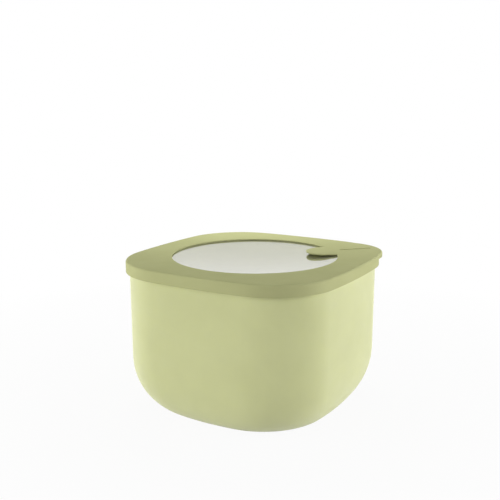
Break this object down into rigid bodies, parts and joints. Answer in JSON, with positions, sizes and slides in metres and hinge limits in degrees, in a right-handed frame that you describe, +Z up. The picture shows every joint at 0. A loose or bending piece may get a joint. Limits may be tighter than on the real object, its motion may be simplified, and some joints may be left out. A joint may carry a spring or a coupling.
{
  "type": "airtight food storage container",
  "caption": "Soft-cornered square food keeper: a moulded tub with a press-on lid, a round see-through window, a thumb lip and a lifting vent flap.",
  "frame": {"origin": "on the table under the middle of the tub", "axes": "+Z up, -Y out of the front face, and the vent and the thumb lip point along +X +Y"},
  "size_m": [0.164, 0.164, 0.11],
  "materials": {
    "tub": "smooth satin moulding, soft yellow-green",
    "frame": "matte soft-touch, olive green",
    "window": "glossy clear moulding, slightly hazy",
    "seal": "matte pale translucent rubber"
  },
  "bodies": {
    "tub": {"container_body": "tub"},
    "lid": {"lid_frame": "frame", "lid_window": "window", "rim_seal": "seal"},
    "flap": {"vent_flap": "frame", "vent_plug": "seal"}
  },
  "joints": [
    {"name": "lid_lift", "type": "slide", "parent": "tub", "child": "lid", "axis": [0, 0, 1], "range_m": [0, 0.12]},
    {"name": "vent_hinge", "type": "hinge", "parent": "lid", "child": "flap", "pos_m": [0.04455, 0.04455, 0.10948], "axis": [-0.7071, 0.7071, 0], "range_deg": [0, 95]}
  ]
}
